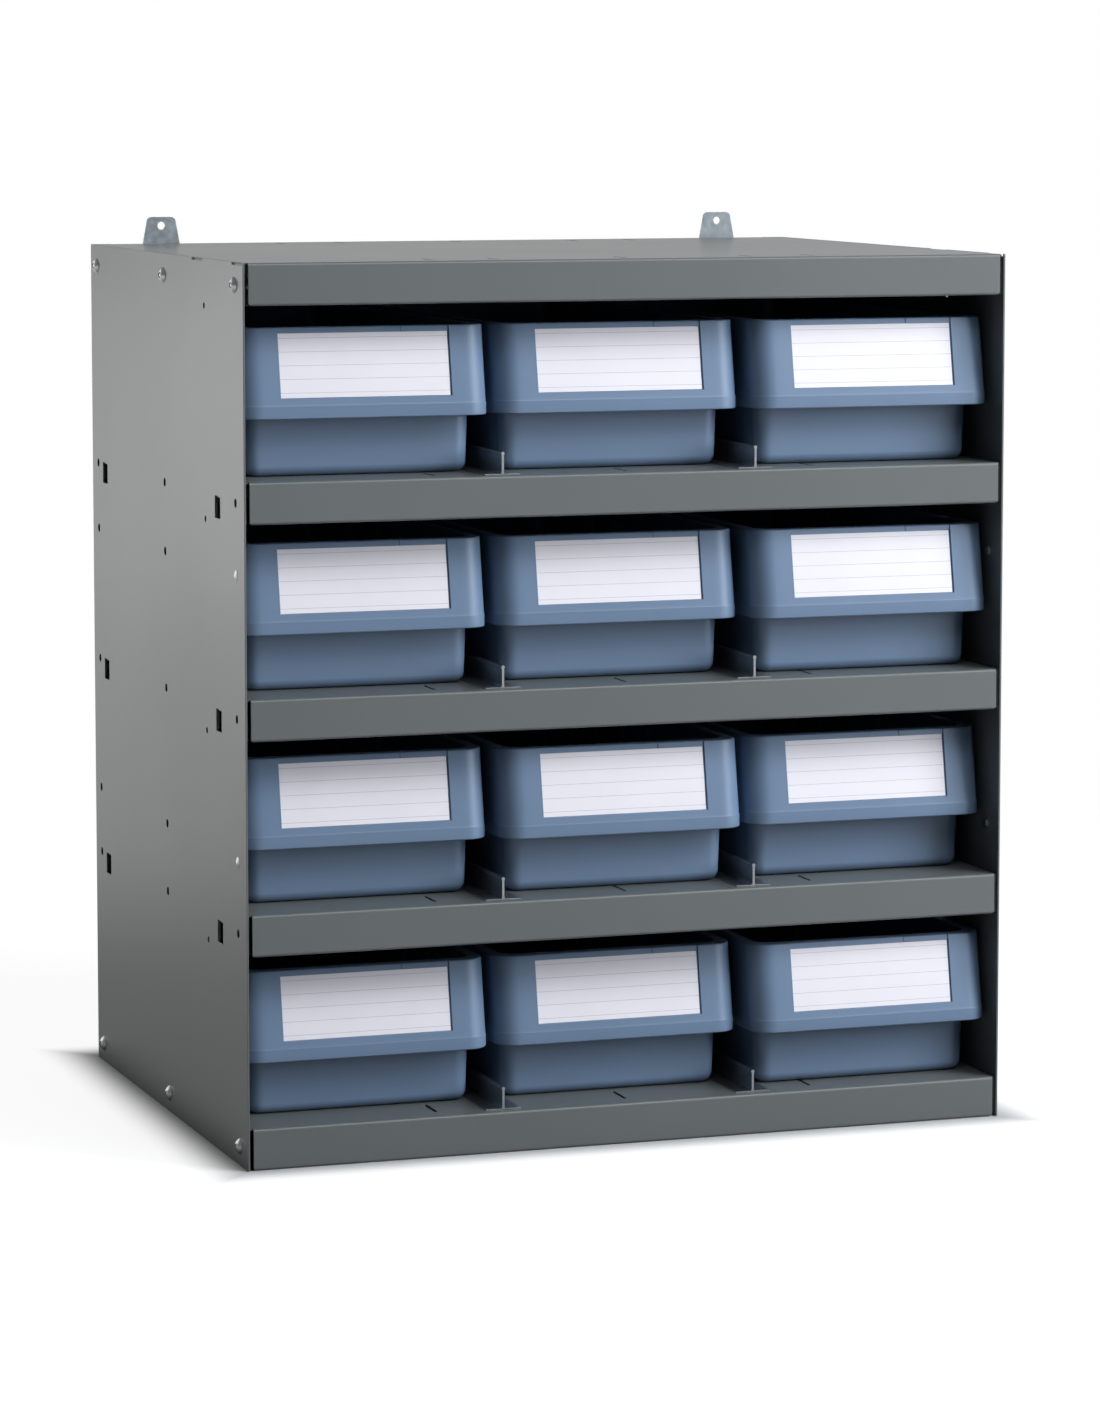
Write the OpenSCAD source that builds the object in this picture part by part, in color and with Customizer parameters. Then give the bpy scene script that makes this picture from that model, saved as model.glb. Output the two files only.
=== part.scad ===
// Sheet-steel shelf cabinet with twelve pull-out plastic parts bins.
// Millimetres. X runs across the front, Y runs from the front to the back, Z is up.
// The origin lies on the floor, under the middle of the cabinet.

/* [Cabinet] */
// Outside width of the cabinet
cabinet_w = 560; // [500:1:700]
// Depth from the front flanges to the rivet heads on the hanging plates
cabinet_d = 430; // [426:1:480]
// Height from one shelf to the next
shelf_pitch = 148; // [140:1:180]
// Number of rows of bins
rows = 4; // [4:1:4]
// Number of bins in a row
columns = 3; // [3:1:3]
// Height of a shelf's folded flanges
flange_h = 29; // [24:0.5:32]
// Thickness of the painted sheet
sheet_t = 1.25; // [1:0.05:1.5]
// Outside radius of a fold in the sheet
bend_r = 2; // [1.6:0.1:3]

/* [Side panels] */
// Width of the flange folded in at the back edge
rear_flange_w = 16; // [12:1:24]
// Diameter of the holes for the side screws
screw_hole_d = 6.2; // [6.1:0.1:6.6]
// Diameter of the small holes under each shelf
small_hole_d = 4.5; // [3:0.5:5]

/* [Hanging plates] */
// Distance between the two hanging holes
hanger_spacing = 450; // [300:1:480]
// Diameter of a hanging hole
hanger_hole_d = 6; // [5:0.5:8]
// Thickness of a hanging plate
hanger_t = 2; // [1.5:0.5:2]
// Height of a hanging plate above the top of the cabinet
hanger_rise = 20; // [18:1:30]

/* [Guide rails] */
// Height of a guide rail's fin
rail_h = 16; // [12:1:20]
// Width of a guide rail's foot
rail_w = 25.5; // [20:0.5:27]
// Thickness of the rail's sheet
rail_t = 0.8; // [0.6:0.1:1]

/* [Bins] */
// Length of a bin from its front lip to its rear rim
bin_l = 400; // [360:1:400]
// Height of a bin
bin_h = 102.5; // [95:0.5:110]
// Width across the label front
visor_w = 180; // [176:0.5:181]
// Width of the bin body at its floor, before the edges are rounded
body_w = 160; // [154:0.5:161]
// Wall thickness of the bin
wall_t = 2.4; // [2:0.1:3]
// Lean of the label face from upright, in degrees
visor_lean = 10.5; // [6:0.5:14]
// Width of the label card
label_w = 121; // [100:1:124]
// Height of the label card
label_h = 44.4; // [36:0.2:45]

/* [Hidden] */
$fn = 64;
slice = 0.01;

cabinet_h = rows * shelf_pitch + flange_h;
half_w = cabinet_w / 2;
front_y = -cabinet_d / 2;
inner_half_w = half_w - sheet_t;

// Back of the cabinet, from the outermost rivet heads inwards
back_t = 1;
rivet_head_h = 1.3;
hanger_rear_y = cabinet_d / 2 - rivet_head_h;
back_rear_y = hanger_rear_y - hanger_t;
pan_rear_y = back_rear_y - back_t;
pan_d = pan_rear_y - front_y;
pan_mid_y = (front_y + pan_rear_y) / 2;

// Folded pans: top, shelves and bottom are the same pressing
flange_end_gap = 4;
flange_half_w = half_w - flange_end_gap;
lip_w = 11;
side_fold_inset = 3;
side_fold_rise = 0.6;
fold_corner_r = 2.5;
slot_w = 2.6;
slot_l = 26;
slot_inset = 28.5;
slot_fractions = [1 / 4, 1 / 3, 1 / 2, 2 / 3, 3 / 4];
slot_rows_y = [front_y + slot_inset, pan_rear_y - slot_inset];
pan_tops = [for (i = [0 : rows]) cabinet_h - i * shelf_pitch];

// Hole columns and rows of the side panels
column_front = 21.5;
column_middle = 211.5;
column_rear = 408.5;
hole_columns_y = [for (d = [column_front, column_middle, column_rear]) front_y + d];
screw_drop = 15.5;
shelf_rows_z = [for (top = pan_tops) top - screw_drop];
third_pitch = rows * shelf_pitch / 3;
third_rows_z = [for (i = [1, 2]) cabinet_h - screw_drop - i * third_pitch];
small_hole_y = front_y + 100;
small_hole_drop = 32.5;

// Tongues lanced out of the side panels, which carry the shelves
tongue_h = 13;
tongue_w = 9;
tongue_slot_w = 5;
tongue_cut = 1.2;
tongue_lean = 24;
tongue_low = 0.6;
tongue_columns_y = [front_y + 70, front_y + 389.5];

// Notches in the top edge of the side panels
notch_depth = 1.8;
notches_from_front = [[1.5, 26], [103, 29]];

// Side screws, nuts and plugs
screw_d = 6;
screw_head_d = 11.4;
screw_head_h = 3.4;
screw_l = 9;
recess_w = 1.3;
recess_l = 5.6;
recess_depth = 1.6;
nut_flats = 10;
nut_h = 4.8;
plug_head_d = 8;
plug_head_h = 1.2;
plug_tail_l = 2.6;

// Rivets at the back
rivet_d = 4;
rivet_head_d = 8;
rivet_tail_d = 5.6;
rivet_tail_h = 2.6;
rivet_columns_x = [-180, 0, 180];

// Hanging plates
hanger_low_z = cabinet_h - flange_h - 14;
hanger_wide = 28.5;
hanger_narrow = 21;
hanger_corner_r = 4;
hanger_hole_drop = 6.6;
hanger_x = hanger_spacing / 2;

// Guide rails
rail_front_y = front_y + 7;
rail_rear_y = pan_rear_y - 7;
rail_l = rail_rear_y - rail_front_y;
rail_bead_r = 1.25;
rail_fillet_r = 1.6;
rail_lug_l = 20;
rail_lug_h = 5;

// Bin body
draft = 0.035;
floor_r = 7;
corner_r = 10;
body_front = 22;
rim_w = 4.6;
rim_t = 2.4;
rim_lip_h = 7;
rim_corner_r = 18;
body_rear = floor(bin_l - rim_w - draft * bin_h);
body_half_w = body_w / 2;
top_half_w = body_half_w + draft * bin_h;
rim_half_w = top_half_w + rim_w;

// Label front of the bin
lip_z = 40.5;
crease_z = 49.5;
visor_r = 16;
visor_t = 2.2;
visor_step = 0.3;
visor_depth = 44;
visor_half_w = visor_w / 2;
web_x = top_half_w - 2.3;
visor_reach = 20;
visor_clip = 240;
rim_front = 51;
recess_t = 1.2;
recess_side_gap = 0.8;
recess_shift = 0.4;
label_t = 0.5;
label_low = 5.6;
notch_fraction = 0.28;
notch_step = 0.5;

// Dividing ribs inside the bin
rib_pairs = 6;
rib_gap = 2.4;
rib_w = 1.6;
rib_out = 1.8;
rib_low_z = 14;
rib_high_z = bin_h - 14;
rib_first = 62;
rib_last = 342;

// Where each bin stands: clearances and how far it is pushed in, row by row from the top
bin_lift = 0.3;
cell_w = cabinet_w / columns;
bin_columns_x = [for (i = [0 : columns - 1]) -half_w + (i + 0.5) * cell_w];
push_in = [
    [20.1, 24.6, 13.7],
    [24.4, 24.6, 11.3],
    [24.2, 13.7, 20.5],
    [22.5, 24.6, 8.4]
];

paint = [0.44, 0.45, 0.44];
zinc = [0.72, 0.74, 0.76];
bin_blue = [0.33, 0.44, 0.60];
card_white = [0.93, 0.93, 0.95];

// ---------- flat outlines ----------

// Rectangle about the origin with four round corners
module round_rect(w, h, r) {
    square([w - 2 * r, h], center = true);
    square([w, h - 2 * r], center = true);
    for (x = [-1, 1], y = [-1, 1])
        translate([x * (w / 2 - r), y * (h / 2 - r)])
            circle(r);
}

// Slot with round ends, its length along Y
module slot_outline(w, l) {
    square([w, l - w], center = true);
    for (y = [-1, 1])
        translate([0, y * (l - w) / 2])
            circle(d = w);
}

// Section through a folded pan: flat top, two flanges and, where lip > 0, two return lips
module pan_section(w, h, lip) {
    inner_r = bend_r - sheet_t;
    difference() {
        translate([0, -h / 2])
            round_rect(w, h, bend_r);
        translate([0, -h / 2])
            round_rect(w - 2 * sheet_t, h - 2 * sheet_t, inner_r);
        gap = w - 2 * (lip > 0 ? lip : sheet_t);
        translate([-gap / 2, -h - 1])
            square([gap, sheet_t + bend_r + 1 - (lip > 0 ? bend_r : 0)]);
        if (lip == 0)
            translate([-w / 2 - 1, -h - 1])
                square([w + 2, bend_r + 1]);
    }
}

// ---------- folded sheet pans ----------

// Turns an outline drawn in X-Y so that it stands in the Y-Z plane and runs along X
module along_x(l) {
    rotate([90, 0, 90])
        translate([0, 0, -l / 2])
            linear_extrude(l)
                children();
}

// Turns an outline drawn in X-Y so that it stands in the X-Z plane and runs along Y
module along_y(l) {
    rotate([90, 0, 0])
        translate([0, 0, -l / 2])
            linear_extrude(l)
                children();
}

// Cuts away the square lower corners of the return lips, so that the folds end in a round
module flange_corner_cuts() {
    for (side = [0, 1])
        mirror([side, 0, 0])
            translate([flange_half_w - fold_corner_r, pan_mid_y, fold_corner_r - flange_h])
                along_y(pan_d + 2)
                    difference() {
                        translate([0, -fold_corner_r - 1])
                            square(fold_corner_r + 1);
                        circle(fold_corner_r);
                    }
}

// One pressing, with its top face at z = 0
module pan_blank() {
    difference() {
        translate([0, pan_mid_y, 0])
            along_x(2 * flange_half_w)
                pan_section(pan_d, flange_h, lip_w);
        flange_corner_cuts();
    }
    translate([0, pan_mid_y, 0])
        along_y(pan_d - 2 * side_fold_inset)
            pan_section(2 * inner_half_w, flange_h + bend_r - side_fold_rise, 0);
}

// Slots in the pan's face for the rails' lugs, at every place where a rail may stand
module pan_slots() {
    for (fraction = slot_fractions, y = slot_rows_y)
        translate([-half_w + fraction * cabinet_w, y, -sheet_t - 1])
            linear_extrude(sheet_t + 2)
                slot_outline(slot_w, slot_l);
}

// Holes through both side folds, on the columns of the side panels
module side_fold_holes(d) {
    for (y = hole_columns_y)
        translate([0, y, -screw_drop])
            rotate([0, 90, 0])
                cylinder(d = d, h = cabinet_w + 2, center = true);
}

// Holes in the rear flange for the rivets that hold the back panel
module rear_flange_holes(columns_x, d) {
    for (x = columns_x)
        translate([x, pan_rear_y - sheet_t / 2, -screw_drop])
            rotate([90, 0, 0])
                cylinder(d = d, h = 4 * sheet_t, center = true);
}

// Windows in a shelf's side folds, which drop over the side panels' tongues
module tongue_windows() {
    window_l = tongue_w + tongue_slot_w + 3;
    window_h = tongue_low + tongue_h + 1;
    for (y = tongue_columns_y)
        translate([0, y + (tongue_slot_w - tongue_w) / 2, -flange_h + window_h / 2 - 1])
            cube([cabinet_w, window_l, window_h], center = true);
}

module pan(rivets_x) {
    difference() {
        pan_blank();
        pan_slots();
        side_fold_holes(screw_hole_d);
        rear_flange_holes(rivets_x, rivet_d);
    }
}

module shelf_pan(level) {
    color(paint)
        translate([0, 0, pan_tops[level]])
            difference() {
                pan(rivet_columns_x);
                tongue_windows();
            }
}

module top_pan() {
    color(paint)
        translate([0, 0, pan_tops[0]])
            pan(concat(rivet_columns_x, [-hanger_x, hanger_x]));
}

module bottom_pan() {
    color(paint)
        translate([0, 0, pan_tops[rows]])
            pan(rivet_columns_x);
}

// ---------- side panels ----------

// Opening around one tongue, which stays joined to the wall at its front edge
module tongue_opening(y, z) {
    translate([-half_w - 1, y - tongue_w, z - tongue_cut])
        cube([sheet_t + 2, tongue_w + tongue_slot_w, tongue_h + 2 * tongue_cut]);
}

// Tongue bent inwards about its front edge
module tongue(y, z) {
    translate([-half_w, y - tongue_w - slice, z])
        rotate([0, 0, -tongue_lean])
            cube([sheet_t, tongue_w, tongue_h]);
}

// The left panel; the right one is its mirror image
module side_panel() {
    panel_rear_y = back_rear_y + sheet_t;
    panel_d = panel_rear_y - front_y;
    inner_r = bend_r - sheet_t;
    difference() {
        // Flat wall with the rear flange folded in
        linear_extrude(cabinet_h) {
            translate([-half_w, front_y])
                square([sheet_t, panel_d - bend_r]);
            translate([-half_w + bend_r, panel_rear_y - sheet_t])
                square([rear_flange_w - bend_r, sheet_t]);
            translate([-half_w + bend_r, panel_rear_y - bend_r])
                intersection() {
                    difference() {
                        circle(bend_r);
                        circle(inner_r);
                    }
                    translate([-bend_r, 0])
                        square(bend_r);
                }
        }
        for (y = hole_columns_y, z = concat(shelf_rows_z, third_rows_z))
            translate([-half_w + sheet_t / 2, y, z])
                rotate([0, 90, 0])
                    cylinder(d = screw_hole_d, h = 4 * sheet_t, center = true);
        for (i = [0 : rows - 1])
            translate([-half_w + sheet_t / 2, small_hole_y, pan_tops[i] - small_hole_drop])
                rotate([0, 90, 0])
                    cylinder(d = small_hole_d, h = 4 * sheet_t, center = true);
        for (i = [1 : rows - 1], y = tongue_columns_y)
            tongue_opening(y, pan_tops[i] - flange_h + tongue_low);
        for (notch = notches_from_front)
            translate([-half_w - 1, front_y + notch[0], cabinet_h - notch_depth])
                cube([sheet_t + 2, notch[1], notch_depth + 1]);
    }
    for (i = [1 : rows - 1], y = tongue_columns_y)
        tongue(y, pan_tops[i] - flange_h + tongue_low);
}

module left_side_panel() {
    color(paint)
        side_panel();
}

module right_side_panel() {
    color(paint)
        mirror([1, 0, 0])
            side_panel();
}

// ---------- back panel and hanging plates ----------

module back_panel() {
    back_w = 2 * (half_w - sheet_t - 1);
    back_h = cabinet_h - 4;
    color(paint)
        difference() {
            translate([0, back_rear_y - back_t / 2, cabinet_h / 2])
                cube([back_w, back_t, back_h], center = true);
            for (top = pan_tops)
                translate([0, 0, top])
                    rear_flange_holes(rivet_columns_x, rivet_d);
            translate([0, 0, pan_tops[0]])
                rear_flange_holes([-hanger_x, hanger_x], rivet_d);
        }
}

// Outline of a hanging plate: a straight strip whose head tapers to a rounded top
module hanger_outline() {
    head_z = cabinet_h;
    top_z = cabinet_h + hanger_rise;
    taper = (hanger_wide - hanger_narrow) / 2 / hanger_rise;
    round_z = top_z - hanger_corner_r;
    round_x = hanger_narrow / 2 - hanger_corner_r + taper * hanger_corner_r;
    translate([-hanger_wide / 2, hanger_low_z])
        square([hanger_wide, head_z - hanger_low_z]);
    polygon([
        [-hanger_wide / 2, head_z],
        [hanger_wide / 2, head_z],
        [round_x + hanger_corner_r, round_z],
        [-round_x - hanger_corner_r, round_z]
    ]);
    translate([-round_x, round_z - slice])
        square([2 * round_x, hanger_corner_r + slice]);
    for (side = [-1, 1])
        translate([side * round_x, round_z])
            circle(hanger_corner_r);
}

module hanger(side) {
    color(zinc)
        translate([side * hanger_x, back_rear_y + hanger_t / 2, 0])
            difference() {
                along_y(hanger_t)
                    hanger_outline();
                translate([0, 0, cabinet_h + hanger_rise - hanger_hole_drop])
                    rotate([90, 0, 0])
                        cylinder(d = hanger_hole_d, h = 4 * hanger_t, center = true);
                translate([0, 0, cabinet_h - screw_drop])
                    rotate([90, 0, 0])
                        cylinder(d = rivet_d, h = 4 * hanger_t, center = true);
            }
}

// Blind rivet along +Y: flat tail inside, shank, and a domed head whose seat is at y = 0
module rivet(grip) {
    dome_r = (pow(rivet_head_d / 2, 2) + pow(rivet_head_h, 2)) / (2 * rivet_head_h);
    rotate([-90, 0, 0])
        rotate_extrude()
            union() {
                intersection() {
                    translate([0, rivet_head_h - dome_r])
                        circle(dome_r);
                    square([rivet_head_d, rivet_head_h + 1]);
                }
                translate([0, -grip - rivet_tail_h])
                    square([rivet_d / 2, grip + rivet_tail_h + 0.1]);
                translate([0, -grip - rivet_tail_h])
                    square([rivet_tail_d / 2, rivet_tail_h]);
            }
}

module back_rivets() {
    color(zinc)
        for (x = rivet_columns_x, top = pan_tops)
            translate([x, back_rear_y, top - screw_drop])
                rivet(back_t + sheet_t);
}

module hanger_rivets() {
    color(zinc)
        for (side = [-1, 1])
            translate([side * hanger_x, hanger_rear_y, cabinet_h - screw_drop])
                rivet(hanger_t + back_t + sheet_t);
}

// ---------- side screws, nuts and plugs ----------

// Pan-head screw along -X from the left panel: domed head, cross recess and plain shank
module side_screw() {
    dome_r = (pow(screw_head_d / 2, 2) + pow(screw_head_h, 2)) / (2 * screw_head_h);
    difference() {
        rotate([0, -90, 0])
            rotate_extrude()
                union() {
                    intersection() {
                        translate([0, screw_head_h - dome_r])
                            circle(dome_r);
                        square([screw_head_d, screw_head_h + 1]);
                    }
                    translate([0, -screw_l])
                        square([screw_d / 2, screw_l + 0.1]);
                }
        for (turn = [45, -45])
            translate([-screw_head_h, 0, 0])
                rotate([turn, 0, 0])
                    cube([2 * recess_depth, recess_l, recess_w], center = true);
    }
}

module side_nut() {
    rotate([0, 90, 0])
        difference() {
            cylinder(d = nut_flats / cos(30), h = nut_h, $fn = 6);
            translate([0, 0, -1])
                cylinder(d = screw_d, h = nut_h + 2);
        }
}

// Snap plug that closes a spare front hole: thin domed head outside, barbed tail inside
module hole_plug() {
    dome_r = (pow(plug_head_d / 2, 2) + pow(plug_head_h, 2)) / (2 * plug_head_h);
    rotate([0, -90, 0])
        rotate_extrude()
            union() {
                intersection() {
                    translate([0, plug_head_h - dome_r])
                        circle(dome_r);
                    square([plug_head_d, plug_head_h + 1]);
                }
                translate([0, -plug_tail_l])
                    square([screw_d / 2, plug_tail_l + 0.1]);
            }
}

// Places a fastener on the left wall at every column of the top and the bottom pan
module at_screw_places(x) {
    for (y = hole_columns_y, z = [shelf_rows_z[0], shelf_rows_z[rows]])
        translate([x, y, z])
            children();
}

module left_screws() {
    color(zinc)
        at_screw_places(-half_w)
            side_screw();
}

module left_nuts() {
    color(zinc)
        at_screw_places(-half_w + 2 * sheet_t)
            side_nut();
}

module left_plugs() {
    color(zinc)
        for (z = third_rows_z)
            translate([-half_w, hole_columns_y[0], z])
                hole_plug();
}

// ---------- guide rails ----------

module rail_section() {
    translate([-rail_w / 2, 0])
        square([rail_w, rail_t]);
    translate([-rail_t, 0])
        square([2 * rail_t, rail_h - rail_bead_r]);
    translate([0, rail_h - rail_bead_r])
        circle(rail_bead_r, $fn = 24);
    // Small bend radii between the foot and the fin
    difference() {
        translate([-rail_t - rail_fillet_r, rail_t / 2])
            square([2 * (rail_t + rail_fillet_r), rail_fillet_r + rail_t / 2]);
        for (side = [-1, 1])
            translate([side * (rail_t + rail_fillet_r), rail_t + rail_fillet_r])
                circle(rail_fillet_r, $fn = 24);
    }
}

module guide_rail(level, fraction) {
    x = -half_w + fraction * cabinet_w;
    color(zinc)
        translate([x, 0, pan_tops[level]]) {
            translate([0, (rail_front_y + rail_rear_y) / 2, 0])
                along_y(rail_l)
                    rail_section();
            for (y = slot_rows_y)
                translate([0, y, (rail_t - rail_lug_h) / 2])
                    cube([2 * rail_t, rail_lug_l, rail_lug_h + rail_t], center = true);
        }
}

// ---------- bins ----------

// Half section of a drafted wall with a rounded foot. It starts at x = 0 on the floor;
// run is the distance from there to the wall's foot
module wall_outline(run, height, foot_r) {
    slant = sqrt(1 + draft * draft);
    centre_x = run + foot_r * (draft - slant);
    centre = [centre_x, foot_r];
    outward = [1, -draft] / slant;
    polygon([
        [0, 0],
        [centre_x, 0],
        centre,
        centre + foot_r * outward,
        [run + draft * height, height],
        [0, height]
    ]);
    intersection() {
        translate(centre)
            circle(foot_r);
        polygon([
            centre,
            [centre_x, -foot_r],
            [centre_x + 2 * foot_r, -foot_r],
            centre + 2 * foot_r * outward
        ]);
    }
}

// The same half section hollowed out to the bin's wall thickness
module shell_outline(run) {
    difference() {
        wall_outline(run, bin_h, floor_r);
        translate([0, wall_t])
            wall_outline(run - wall_t * (1 - draft), bin_h, floor_r - wall_t);
    }
}

// Drafted tub with round corners: a long trough, two end strips and four turned corners
module tub() {
    mid_y = (body_front + body_rear) / 2;
    core_x = body_half_w - corner_r;
    core_y = (body_rear - body_front) / 2 - corner_r;
    translate([0, mid_y, 0]) {
        along_y(2 * core_y) {
            translate([-core_x, 0])
                square([2 * core_x, wall_t]);
            for (side = [0, 1])
                mirror([side, 0])
                    translate([core_x, 0])
                        shell_outline(corner_r);
        }
        for (side = [0, 1])
            mirror([0, side, 0])
                translate([0, core_y, 0])
                    along_x(2 * core_x)
                        shell_outline(corner_r);
        for (sx = [0, 1], sy = [0, 1])
            mirror([sx, 0, 0])
                mirror([0, sy, 0])
                    translate([core_x, core_y, 0])
                        rotate_extrude(angle = 90)
                            shell_outline(corner_r);
    }
}

// Plan of the label front with round corners, cut off straight behind
module visor_plan(inset, depth) {
    half = visor_half_w - inset;
    r = visor_r - inset;
    translate([-half + r, inset])
        square([2 * (half - r), depth - inset]);
    translate([-half, visor_r])
        square([2 * half, depth - visor_r]);
    for (side = [-1, 1])
        translate([side * (half - r), visor_r])
            circle(r);
}

// Its wall, with a web at each end that closes the grip against the bin's side
module visor_wall(inset, thick, depth, web_t) {
    web_w = visor_half_w - inset - thick / 2 - web_x;
    difference() {
        visor_plan(inset, depth);
        visor_plan(inset + thick, depth + 1);
    }
    for (side = [-1, 1])
        translate([side * (web_x + web_w / 2), depth - web_t / 2])
            square([web_w, web_t], center = true);
}

// Puts children on the leaning label face: its own origin is at the crease
module on_label_face() {
    translate([0, 0, crease_z])
        rotate([-visor_lean, 0, 0])
            children();
}

// Keeps the part of a leaning extrusion that lies between two heights
module leaning_between(low, high) {
    intersection() {
        on_label_face()
            translate([0, 0, -visor_reach])
                linear_extrude(bin_h + visor_reach)
                    children();
        translate([-visor_clip / 2, -visor_reach, low])
            cube([visor_clip, visor_clip, high - low]);
    }
}

// Upright lower band, and the leaning label wall that rises out of it behind a fine step,
// with a flat top that joins it to the bin
module visor() {
    leaning_depth = visor_depth - 4 * visor_step;
    translate([0, 0, lip_z])
        linear_extrude(crease_z - lip_z)
            visor_wall(0, visor_t + 2 * visor_step, visor_depth, visor_t + 4 * visor_step);
    leaning_between(crease_z - 2 * visor_step, bin_h)
        visor_wall(visor_step, visor_t, leaning_depth, visor_t);
    leaning_between(bin_h - rim_t, bin_h)
        visor_plan(visor_step, leaning_depth);
}

// Plan of the rim along both sides and the rear, with round rear corners
module rim_plan(inset) {
    half = rim_half_w - inset;
    far = bin_l - inset;
    r = rim_corner_r - inset;
    translate([-half, rim_front])
        square([2 * half, far - r - rim_front]);
    translate([-half + r, rim_front])
        square([2 * (half - r), far - rim_front]);
    for (side = [-1, 1])
        translate([side * (half - r), far - r])
            circle(r);
}

// Flat rim round the mouth, with a lip turned down at its edge
module rim() {
    translate([0, 0, bin_h - rim_t])
        linear_extrude(rim_t)
            rim_plan(0);
    translate([0, 0, bin_h - rim_lip_h])
        linear_extrude(rim_lip_h - rim_t / 2)
            difference() {
                rim_plan(0);
                rim_plan(rim_t);
            }
}

// Opening through the rim and the visor's top; its edge lies inside the tub's wall
module mouth() {
    mouth_l = body_rear - body_front + 2 * draft * bin_h - wall_t;
    translate([0, (body_front + body_rear) / 2, bin_h - rim_lip_h - 1])
        linear_extrude(rim_lip_h + 2)
            round_rect(2 * top_half_w - wall_t, mouth_l, corner_r + draft * bin_h - wall_t / 2);
}

// Recess for the label card, open upwards, with a shallower thumb notch at its right end
module label_recess() {
    recess_half = label_w / 2 + recess_side_gap;
    notch_l = notch_fraction * 2 * recess_half;
    label_top = label_low + label_h;
    on_label_face()
        translate([recess_shift, visor_step, 0]) {
            translate([-recess_half, -1, label_low - 0.4])
                cube([2 * recess_half, 1 + recess_t, label_h + 0.8]);
            translate([-recess_half, -1, label_top])
                cube([2 * recess_half - notch_l, 1 + recess_t, visor_clip]);
            translate([recess_half - notch_l, -1, label_top])
                cube([notch_l, 1 + recess_t - notch_step, visor_clip]);
        }
}

// Pairs of ribs on both long walls, which hold loose cross dividers
module divider_ribs() {
    step = (rib_last - rib_first) / (rib_pairs - 1);
    slope = atan(draft);
    for (side = [0, 1], i = [0 : rib_pairs - 1], half = [-1, 1])
        mirror([side, 0, 0])
            translate([body_half_w - wall_t, rib_first + i * step + half * (rib_gap + rib_w) / 2, 0])
                rotate([0, slope, 0])
                    translate([-rib_out, -rib_w / 2, rib_low_z])
                        cube([rib_out + wall_t / 2, rib_w, rib_high_z - rib_low_z]);
}

module bin_shell() {
    tub();
    difference() {
        union() {
            rim();
            visor();
        }
        mouth();
        label_recess();
    }
}

module at_bin_place(row, column) {
    translate([bin_columns_x[column], front_y + push_in[row][column], pan_tops[row + 1] + bin_lift])
        children();
}

module bin(row, column) {
    color(bin_blue)
        at_bin_place(row, column) {
            bin_shell();
            divider_ribs();
        }
}

module label(row, column) {
    color(card_white)
        at_bin_place(row, column)
            on_label_face()
                translate([-label_w / 2, visor_step + recess_t - label_t, label_low])
                    cube([label_w, label_t, label_h]);
}

// ---------- assembly ----------

left_side_panel();
right_side_panel();
top_pan();
shelf_pan(1);  // upper_shelf
shelf_pan(2);  // middle_shelf
shelf_pan(3);  // lower_shelf
bottom_pan();
back_panel();
hanger(-1);  // left_hanger
hanger(1);  // right_hanger
hanger_rivets();
back_rivets();
left_screws();  // left_side_screws
mirror([1, 0, 0]) left_screws();  // right_side_screws
left_nuts();  // left_side_nuts
mirror([1, 0, 0]) left_nuts();  // right_side_nuts
left_plugs();  // left_hole_plugs
mirror([1, 0, 0]) left_plugs();  // right_hole_plugs
guide_rail(1, 1 / 3);  // rail_1_left
guide_rail(1, 2 / 3);  // rail_1_right
guide_rail(2, 1 / 3);  // rail_2_left
guide_rail(2, 2 / 3);  // rail_2_right
guide_rail(3, 1 / 3);  // rail_3_left
guide_rail(3, 2 / 3);  // rail_3_right
guide_rail(4, 1 / 3);  // rail_4_left
guide_rail(4, 2 / 3);  // rail_4_right
bin(0, 0);  // bin_1_left
bin(0, 1);  // bin_1_middle
bin(0, 2);  // bin_1_right
bin(1, 0);  // bin_2_left
bin(1, 1);  // bin_2_middle
bin(1, 2);  // bin_2_right
bin(2, 0);  // bin_3_left
bin(2, 1);  // bin_3_middle
bin(2, 2);  // bin_3_right
bin(3, 0);  // bin_4_left
bin(3, 1);  // bin_4_middle
bin(3, 2);  // bin_4_right
label(0, 0);  // label_1_left
label(0, 1);  // label_1_middle
label(0, 2);  // label_1_right
label(1, 0);  // label_2_left
label(1, 1);  // label_2_middle
label(1, 2);  // label_2_right
label(2, 0);  // label_3_left
label(2, 1);  // label_3_middle
label(2, 2);  // label_3_right
label(3, 0);  // label_4_left
label(3, 1);  // label_4_middle
label(3, 2);  // label_4_right
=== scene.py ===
import math

import bmesh
import bpy
from mathutils import Matrix, Vector


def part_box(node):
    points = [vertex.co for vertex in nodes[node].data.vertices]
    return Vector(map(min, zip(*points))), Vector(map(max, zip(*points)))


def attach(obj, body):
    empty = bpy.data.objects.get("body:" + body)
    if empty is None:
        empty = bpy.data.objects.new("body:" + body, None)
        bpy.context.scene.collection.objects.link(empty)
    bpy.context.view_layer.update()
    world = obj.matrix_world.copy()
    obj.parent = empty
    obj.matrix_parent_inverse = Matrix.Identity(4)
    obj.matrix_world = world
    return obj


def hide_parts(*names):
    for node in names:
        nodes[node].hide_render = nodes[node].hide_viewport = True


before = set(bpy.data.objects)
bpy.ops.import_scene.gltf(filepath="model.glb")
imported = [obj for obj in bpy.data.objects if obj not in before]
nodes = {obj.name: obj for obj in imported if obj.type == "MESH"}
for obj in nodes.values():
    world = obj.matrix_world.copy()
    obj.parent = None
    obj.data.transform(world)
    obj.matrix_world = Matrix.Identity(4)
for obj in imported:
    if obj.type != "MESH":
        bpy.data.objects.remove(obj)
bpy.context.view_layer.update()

scene = bpy.context.scene
MM = 0.001


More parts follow.
